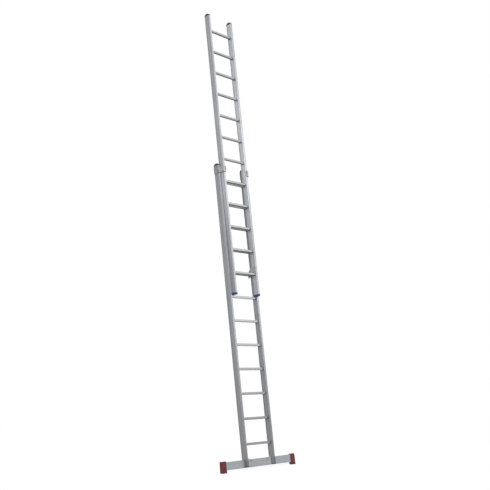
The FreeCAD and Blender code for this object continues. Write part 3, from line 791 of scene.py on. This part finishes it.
def end_rule(tree, given, part, smooth=False):
    """Realize the instances, lean them onto the ladder and give them their finish."""
    plain = put(tree, "GeometryNodeRealizeInstances", {"Geometry": part}).outputs[0]
    leaning = moved(tree, plain, turn=(-LEAN, 0, 0))
    shaded = put(tree, "GeometryNodeSetShadeSmooth", {"Geometry": leaning,
                                                      "Shade Smooth": smooth})
    painted = put(tree, "GeometryNodeSetMaterial", {"Geometry": shaded.outputs[0],
                                                    "Material": given["Finish"]})
    finish = tree.nodes.new("NodeGroupOutput")
    tree.links.new(painted.outputs[0], finish.inputs[0])


def grown(name, tree, sizes, start=None):
    """Object whose mesh the tree makes from these sizes, with the modifier gone again."""
    piece = bpy.data.objects.new(name, start or bpy.data.meshes.new(name))
    bpy.context.scene.collection.objects.link(piece)
    modifier = piece.modifiers.new("rule", "NODES")
    modifier.node_group = tree
    for item in tree.interface.items_tree:
        if item.item_type == "SOCKET" and item.in_out == "INPUT" and item.name != "Geometry":
            modifier[item.identifier] = sizes[item.name]
    ready = piece.evaluated_get(bpy.context.evaluated_depsgraph_get())
    mesh = bpy.data.meshes.new_from_object(ready)
    piece.modifiers.remove(modifier)
    mesh.name = name
    piece.data = mesh
    print(name, len(mesh.polygons), "faces")
    return piece


# %% [markdown]
# ## Rungs
#
# A rung is an extrusion like the stiles: one section, drawn once and cut to length. The tread
# on top has three grooves, with fine teeth between them for grip. The section is drawn here
# as a closed line of points.

# %% Rung section
RUNG_SIZE = 0.026
RUNG_CORNER = 0.006
CORNER_STEPS = 6
GROOVE_PITCH = 0.0045
GROOVE_WIDTH = 0.0016
GROOVE_DEPTH = 0.0010
GROOVE_SLOPE = 0.0002
TOOTH_DEPTH = 0.0003
TEETH_BETWEEN = 3


def tread_line():
    """Points of the tread from front to back: grooves with fine teeth between them."""
    edges = []
    for index in (-1, 0, 1):
        centre = index * GROOVE_PITCH
        edges.append((centre - GROOVE_WIDTH / 2, centre + GROOVE_WIDTH / 2))
    line = []
    start = -RUNG_SIZE / 2 + RUNG_CORNER
    for near, far in edges + [(-start, None)]:
        width = (near - start) / TEETH_BETWEEN
        if width > MERGE:
            for tooth in range(TEETH_BETWEEN):
                left = start + tooth * width
                line += [(left, 0.0), (left + width / 2, -TOOTH_DEPTH)]
        line.append((near, 0.0))
        if far is not None:
            line += [(near + GROOVE_SLOPE, -GROOVE_DEPTH), (far - GROOVE_SLOPE, -GROOVE_DEPTH)]
            start = far
    return [(n, RUNG_SIZE / 2 + drop) for n, drop in line]


def rung_section():
    """Closed outline of a rung, by distance behind and above its middle."""
    core = RUNG_SIZE / 2 - RUNG_CORNER
    outline = tread_line()
    for centre_n, centre_s, first in ((core, core, 90), (core, -core, 0), (-core, -core, -90),
                                      (-core, core, 180)):
        for step in range(CORNER_STEPS + 1):
            angle = math.radians(first - 90 * step / CORNER_STEPS)
            outline.append((centre_n + RUNG_CORNER * math.cos(angle),
                            centre_s + RUNG_CORNER * math.sin(angle)))
    kept = []
    for point in outline:
        if not kept or math.dist(point, kept[-1]) > MERGE:
            kept.append(point)
    if math.dist(kept[0], kept[-1]) < MERGE:
        kept.pop()
    return kept


def section_mesh(name, outline):
    """Closed loop of edges in the plane x = 0."""
    mesh = bpy.data.meshes.new(name)
    count = len(outline)
    mesh.from_pydata([(n, s, 0) for n, s in outline],
                     [(index, (index + 1) % count) for index in range(count)], [])
    return mesh


print("rung section points:", len(rung_section()))

# %% [markdown]
# The tree sweeps that line along one rung and repeats the rung up the section at the rung
# pitch, so a change of pitch moves them all. Length, pitch and place are inputs, and
# `rungs_of` reads them from the CAD rungs.

# %% Rung rule
def straight(tree, start, end):
    return put(tree, "GeometryNodeCurvePrimitiveLine", {"Start": start, "End": end}).outputs[0]


def swept(tree, line, section, caps=True):
    """Solid made by drawing a section along a line."""
    return put(tree, "GeometryNodeCurveToMesh", {"Curve": line, "Profile Curve": section,
                                                 "Fill Caps": caps}).outputs[0]


def row_of(tree, given, across=0.0):
    """Points up the ladder, one for each rung of a section."""
    start = vector(tree, across, given["Behind"], given["Height"])
    return put(tree, "GeometryNodeMeshLine",
               {"Count": given["Count"], "Start Location": start,
                "Offset": vector(tree, z=given["Pitch"])}).outputs[0]


def copies(tree, item, points, **turned):
    return put(tree, "GeometryNodeInstanceOnPoints",
               {"Points": points, "Instance": item, **turned}).outputs[0]


def rung_row(section):
    """Names of a section's rungs, the lowest one's middle, their half size and their pitch."""
    names = sorted(name for name in nodes if name.startswith(section + "_rung_"))
    first = node_box(names[0])[0]
    last, half = node_box(names[-1])
    return names, first, half, (last.z - first.z) / (len(names) - 1)


rung_rule, given = new_rule("rungs", ("Geometry", "Length", "Count", "Pitch", "Behind",
                                      "Height", "Finish"))
tree = rung_rule
outline = put(tree, "GeometryNodeMeshToCurve", {"Mesh": given["Geometry"]}).outputs[0]
half = times(tree, given["Length"], 0.5)
path = straight(tree, vector(tree, times(tree, half, -1.0)), vector(tree, half))
rungs = copies(tree, swept(tree, path, outline), row_of(tree, given))
end_rule(tree, given, rungs)


def rungs_of(section, finish):
    """All rungs of a section, sized and placed from its CAD rungs."""
    names, first, half, pitch = rung_row(section)
    piece = grown(section + "_rungs", rung_rule,
                  {"Length": 2 * half.x, "Count": len(names), "Pitch": pitch,
                   "Behind": first.y, "Height": first.z, "Finish": finish},
                  section_mesh(section + "_rung_line", rung_section()))
    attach(piece, section)
    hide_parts(*names)


rungs_of("base", base_rung_metal)
rungs_of("fly", fly_rung_metal)

# %% [markdown]
# ## Collars
#
# Where a rung passes through a stile, its end is pressed outwards until a bead of metal
# stands round the hole on the side that is seen, which is what keeps the rung from turning.
# Modelling it on every stile would repeat the same ring, so one small round section is swept
# along the rung's own outline and copied to both ends of each rung.

# %% Collar rule
COLLAR_BEAD = 0.0019
COLLAR_SIDES = 8
COLLAR_CORNER_STEPS = 5
WEB_RECESS = 0.0015


def circle(tree, radius, steps):
    return put(tree, "GeometryNodeCurvePrimitiveCircle",
               {"Resolution": steps, "Radius": radius}).outputs[0]


collar_rule, given = new_rule("collars", ("Size", "Corner", "Bead", "Count", "Pitch",
                                          "Side", "Behind", "Height", "Finish"))
tree = collar_rule
square = put(tree, "GeometryNodeCurvePrimitiveQuadrilateral",
             {"Width": given["Size"], "Height": given["Size"]}).outputs[0]
soft = put(tree, "GeometryNodeFilletCurve", {"Curve": square, "Radius": given["Corner"],
                                             "Count": COLLAR_CORNER_STEPS}, mode="POLY")
ring = swept(tree, soft.outputs[0], circle(tree, given["Bead"], COLLAR_SIDES), caps=False)
upright = moved(tree, ring, turn=(0, math.pi / 2, 0))
rows = [row_of(tree, given, times(tree, given["Side"], side)) for side in (-1.0, 1.0)]
end_rule(tree, given, copies(tree, upright, joined(tree, *rows)), smooth=True)


def collars_of(section):
    """Collars on the inner faces of a section's two stiles."""
    names, first, _, pitch = rung_row(section)
    side = faces_of(section + "_stile_right").inner + WEB_RECESS
    piece = grown(section + "_collars", collar_rule,
                  {"Size": RUNG_SIZE + COLLAR_BEAD, "Corner": RUNG_CORNER + COLLAR_BEAD / 2,
                   "Bead": COLLAR_BEAD, "Count": len(names), "Pitch": pitch, "Side": side,
                   "Behind": first.y, "Height": first.z, "Finish": collar_metal})
    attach(piece, section)


collars_of("base")
collars_of("fly")

# %% [markdown]
# ## Fasteners
#
# Rivets, bolts and springs sit where the CAD solids are. One node may hold many solids, such
# as all the rivets of the guides, so `solids_of` parts them again. `marks` makes a mesh of
# loose points from them, each with the way that its fastener faces, and `on_marks` sets a
# turned copy on each point. One rule then serves every place.

# %% Places read from the solids
SOLID_GAP = 0.004


def solids_of(node):
    """Boxes of a node's separate solids: left and right, then parted by gaps up the ladder."""
    boxes = []
    for side in (-1, 1):
        points = [point.co for point in nodes[node].data.vertices if point.co.x * side > 0]
        points = sorted(points, key=lambda point: point.dot(UP))
        group = points[:1]
        for point in points[1:]:
            if point.dot(UP) - group[-1].dot(UP) > SOLID_GAP:
                boxes.append(ladder_box(group))
                group = []
            group.append(point)
        boxes.append(ladder_box(group))
    return boxes


def marks(name, places):
    """Mesh of loose points from pairs of a place and the way that its fastener faces."""
    mesh = bpy.data.meshes.new(name)
    mesh.from_pydata([place for place, way in places], [], [])
    facing = mesh.attributes.new("facing", "FLOAT_VECTOR", "POINT")
    facing.data.foreach_set("vector", [value for place, way in places for value in way])
    return mesh


def on_marks(tree, given, item):
    """An item set on each mark, turned to face the mark's own way."""
    points = put(tree, "GeometryNodeMeshToPoints", {"Mesh": given["Geometry"]}).outputs[0]
    facing = put(tree, "GeometryNodeInputNamedAttribute", {"Name": "facing"},
                 data_type="FLOAT_VECTOR").outputs[0]
    aim = put(tree, "FunctionNodeAlignRotationToVector", {"Vector": facing}, axis="Z")
    return copies(tree, item, points, Rotation=aim.outputs[0])


print("solids in guide_rivets:", len(solids_of("guide_rivets")))

# %% [markdown]
# ## Rivets
#
# Blind rivets hold the brackets and the hooks. Each has a domed head with a small pit in its
# middle, where the pulling pin broke off. The tree makes one rivet from a sphere whose lower
# half is flattened, then sets one on each marked point, turned to face the way of its mark.

# %% Rivet rule
RIVET_HEAD = 0.0048
RIVET_CROWN = 0.0017
RIVET_STAND = 0.0016
RIVET_PIT = 0.0007
PIT_SHARE = 0.42
RIVET_SHANK = 0.0024
HEAD_SIDES = 20
HEAD_RINGS = 12
SHANK_SIDES = 12


def raised(tree, part, height, share=1.0):
    """A part moved along z by a share of a height."""
    return moved(tree, part, place=vector(tree, z=times(tree, height, share)))


def cylinder(tree, radius, depth, sides, steps=1):
    return put(tree, "GeometryNodeMeshCylinder", {"Vertices": sides, "Side Segments": steps,
                                                  "Radius": radius, "Depth": depth}).outputs[0]


rivet_rule, given = new_rule("rivets", ("Geometry", "Head", "Crown", "Pit", "Shank", "Grip",
                                        "Finish"))
tree = rivet_rule
ball = put(tree, "GeometryNodeMeshUVSphere", {"Segments": HEAD_SIDES,
                                                "Rings": HEAD_RINGS}).outputs[0]
spot = put(tree, "GeometryNodeInputPosition").outputs[0]
x, y, z = put(tree, "ShaderNodeSeparateXYZ", {0: spot}).outputs
flat = put(tree, "ShaderNodeVectorMath", {0: spot, 1: (1, 1, 0)}, operation="MULTIPLY")
from_middle = put(tree, "ShaderNodeVectorMath", {0: flat.outputs[0]}, operation="LENGTH")
in_pit = maths(tree, "LESS_THAN", from_middle.outputs["Value"], PIT_SHARE)
in_pit = times(tree, in_pit, maths(tree, "GREATER_THAN", z, 0.0))
crown = times(tree, maths(tree, "MAXIMUM", z, 0.0), given["Crown"])
sunk = maths(tree, "SUBTRACT", crown, times(tree, in_pit, given["Pit"]))
shape = vector(tree, times(tree, x, given["Head"]), times(tree, y, given["Head"]), sunk)
head = put(tree, "GeometryNodeSetPosition", {"Geometry": ball, "Position": shape}).outputs[0]
shank = cylinder(tree, given["Shank"], given["Grip"], SHANK_SIDES)
shank = raised(tree, shank, given["Grip"], -0.5)
end_rule(tree, given, on_marks(tree, given, joined(tree, head, shank)), smooth=True)


def rivets_of(node, body, outwards):
    """Rivets in place of a node; outwards is 1 where heads face away from the middle."""
    places = []
    for centre, half in solids_of(node):
        away = math.copysign(1, centre.x) * outwards
        face = centre.x + away * (half.x - RIVET_STAND)
        places.append(((face, centre.y, centre.z), (away, 0, 0)))
    piece = grown(node + "_domed", rivet_rule,
                  {"Head": RIVET_HEAD, "Crown": RIVET_CROWN, "Pit": RIVET_PIT,
                   "Shank": RIVET_SHANK, "Grip": 2 * half.x - RIVET_STAND,
                   "Finish": zinc_metal}, marks(node + "_marks", places))
    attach(piece, body)
    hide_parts(node)


rivets_of("guide_rivets", "base", 1)
rivets_of("bar_bracket_rivets", "base", -1)
rivets_of("hook_rivets", "fly", -1)

# %% [markdown]
# ## Bolts and nuts
#
# One hexagon bolt on each side clamps the bar to its bracket. Heads and nuts are turned from
# hexagon bar, which leaves their corners chamfered, so the tree takes a six-sided cylinder
# and draws its end rings in. The thread is a spiral with a small round section.

# %% Bolt rule
BOLT_FLATS = 0.013
BOLT_HEAD = 0.0053
BOLT_SHANK = 0.0040
NUT_HEIGHT = 0.0065
CHAMFER = 0.1
HEX_STEPS = 5
END_RING = 0.45
SECOND_RING = 0.25
RING_LIFT = 0.08
THREAD_PITCH = 0.00125
THREAD_TURNS = 10.0
THREAD_SHARE = 0.34
THREAD_STEPS = 14
RIDGE_SIDES = 4
BOLT_SIDES = 24


def spiral(tree, steps, turns, radius, height):
    return put(tree, "GeometryNodeCurveSpiral",
               {"Resolution": steps, "Rotations": turns, "Start Radius": radius,
                "End Radius": radius, "Height": height}).outputs[0]


bolt_rule, given = new_rule("bolts", ("Geometry", "Flats", "Head", "Chamfer", "Shank",
                                      "Length", "Nut", "Nut Place", "Thread", "Finish"))
tree = bolt_rule


def hexagon(tree, given, height, both_ends):
    """Hexagon standing on z = 0, with its upper end, or both ends, drawn in."""
    corner = times(tree, given["Flats"], 1 / math.sqrt(3))
    stock = raised(tree, cylinder(tree, corner, height, 6, HEX_STEPS), height, 0.5)
    spot = put(tree, "GeometryNodeInputPosition").outputs[0]
    x, y, z = put(tree, "ShaderNodeSeparateXYZ", {0: spot}).outputs
    from_middle = maths(tree, "SUBTRACT", maths(tree, "DIVIDE", z, height), 0.5)
    reach = maths(tree, "ABSOLUTE", from_middle)
    end = maths(tree, "GREATER_THAN", reach, END_RING)
    drawn = end if both_ends else maths(tree, "GREATER_THAN", from_middle, END_RING)
    shrink = maths(tree, "SUBTRACT", 1.0, times(tree, drawn, given["Chamfer"]))
    second = maths(tree, "SUBTRACT", maths(tree, "GREATER_THAN", reach, SECOND_RING), end)
    lift = times(tree, times(tree, second, maths(tree, "SIGN", from_middle)),
                 times(tree, height, RING_LIFT))
    place = vector(tree, times(tree, x, shrink), times(tree, y, shrink),
                   maths(tree, "ADD", z, lift))
    return put(tree, "GeometryNodeSetPosition", {"Geometry": stock, "Position": place}).outputs[0]


head = hexagon(tree, given, given["Head"], False)
nut = raised(tree, hexagon(tree, given, given["Nut"], True), given["Nut Place"], -1.0)
shank = cylinder(tree, given["Shank"], given["Length"], BOLT_SIDES)
shank = raised(tree, shank, given["Length"], -0.5)
helix = spiral(tree, THREAD_STEPS, THREAD_TURNS, given["Shank"],
               times(tree, given["Thread"], THREAD_TURNS))
ridge = circle(tree, times(tree, given["Thread"], THREAD_SHARE), RIDGE_SIDES)
rise = maths(tree, "SUBTRACT", times(tree, given["Thread"], 0.5), given["Length"])
thread = raised(tree, swept(tree, helix, ridge), rise)
end_rule(tree, given, on_marks(tree, given, joined(tree, head, nut, shank, thread)))

bolt_places = []
for centre, half in solids_of("bar_bolts"):
    front = centre.y - half.y + BOLT_HEAD
    bolt_length = 2 * half.y - BOLT_HEAD
    bolt_places.append(((centre.x, front, centre.z), (0, -1, 0)))
nut_centre, nut_half = solids_of("bar_nuts")[0]
bolts = grown("bar_bolts_threaded", bolt_rule,
              {"Flats": BOLT_FLATS, "Head": BOLT_HEAD, "Chamfer": CHAMFER,
               "Shank": BOLT_SHANK, "Length": bolt_length, "Nut": NUT_HEIGHT,
               "Nut Place": nut_centre.y + nut_half.y - front, "Thread": THREAD_PITCH,
               "Finish": zinc_metal}, marks("bolt_marks", bolt_places))
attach(bolts, "base")
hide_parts("bar_bolts", "bar_nuts")

# %% [markdown]
# ## Latch springs
#
# A torsion spring on each latch pin keeps the latch shut. It is a spiral of wire round the
# pin with two straight legs: one rests on the hook plate and the other on the latch. The
# Spiral node already makes such a coil, so only the straight legs have to be added.

# %% Spring rule
SPRING_WIRE = 0.00042
SPRING_TURNS = 3.5
SPRING_ROOM = 0.0004
SPRING_LEG = 0.009
WIRE_SIDES = 8
COIL_STEPS = 20

spring_rule, given = new_rule("springs", ("Geometry", "Turns", "Radius", "Wire", "Width",
                                          "Leg", "Finish"))
tree = spring_rule
wire = circle(tree, given["Wire"], WIRE_SIDES)
coil = spiral(tree, COIL_STEPS, given["Turns"], given["Radius"], given["Width"])
coil = raised(tree, swept(tree, coil, wire), given["Width"], -0.5)
legs = []
for side in (-0.5, 0.5):
    z = times(tree, given["Width"], side)
    start = vector(tree, given["Radius"], 0.0, z)
    end = vector(tree, given["Radius"], times(tree, given["Leg"], -2 * side), z)
    legs.append(swept(tree, straight(tree, start, end), wire))
end_rule(tree, given, on_marks(tree, given, joined(tree, coil, *legs)), smooth=True)

spring_boxes = solids_of("latch_springs")
spring_places = [(tuple(centre), (math.copysign(1, centre.x), 0, 0))
                 for centre, half in spring_boxes]
spring_half = spring_boxes[0][1]
springs = grown("latch_springs_wound", spring_rule,
                {"Turns": SPRING_TURNS, "Radius": spring_half.y - SPRING_WIRE - SPRING_ROOM,
                 "Wire": SPRING_WIRE, "Width": 2 * (spring_half.x - SPRING_WIRE),
                 "Leg": SPRING_LEG, "Finish": zinc_metal}, marks("spring_marks", spring_places))
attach(springs, "fly")
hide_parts("latch_springs")
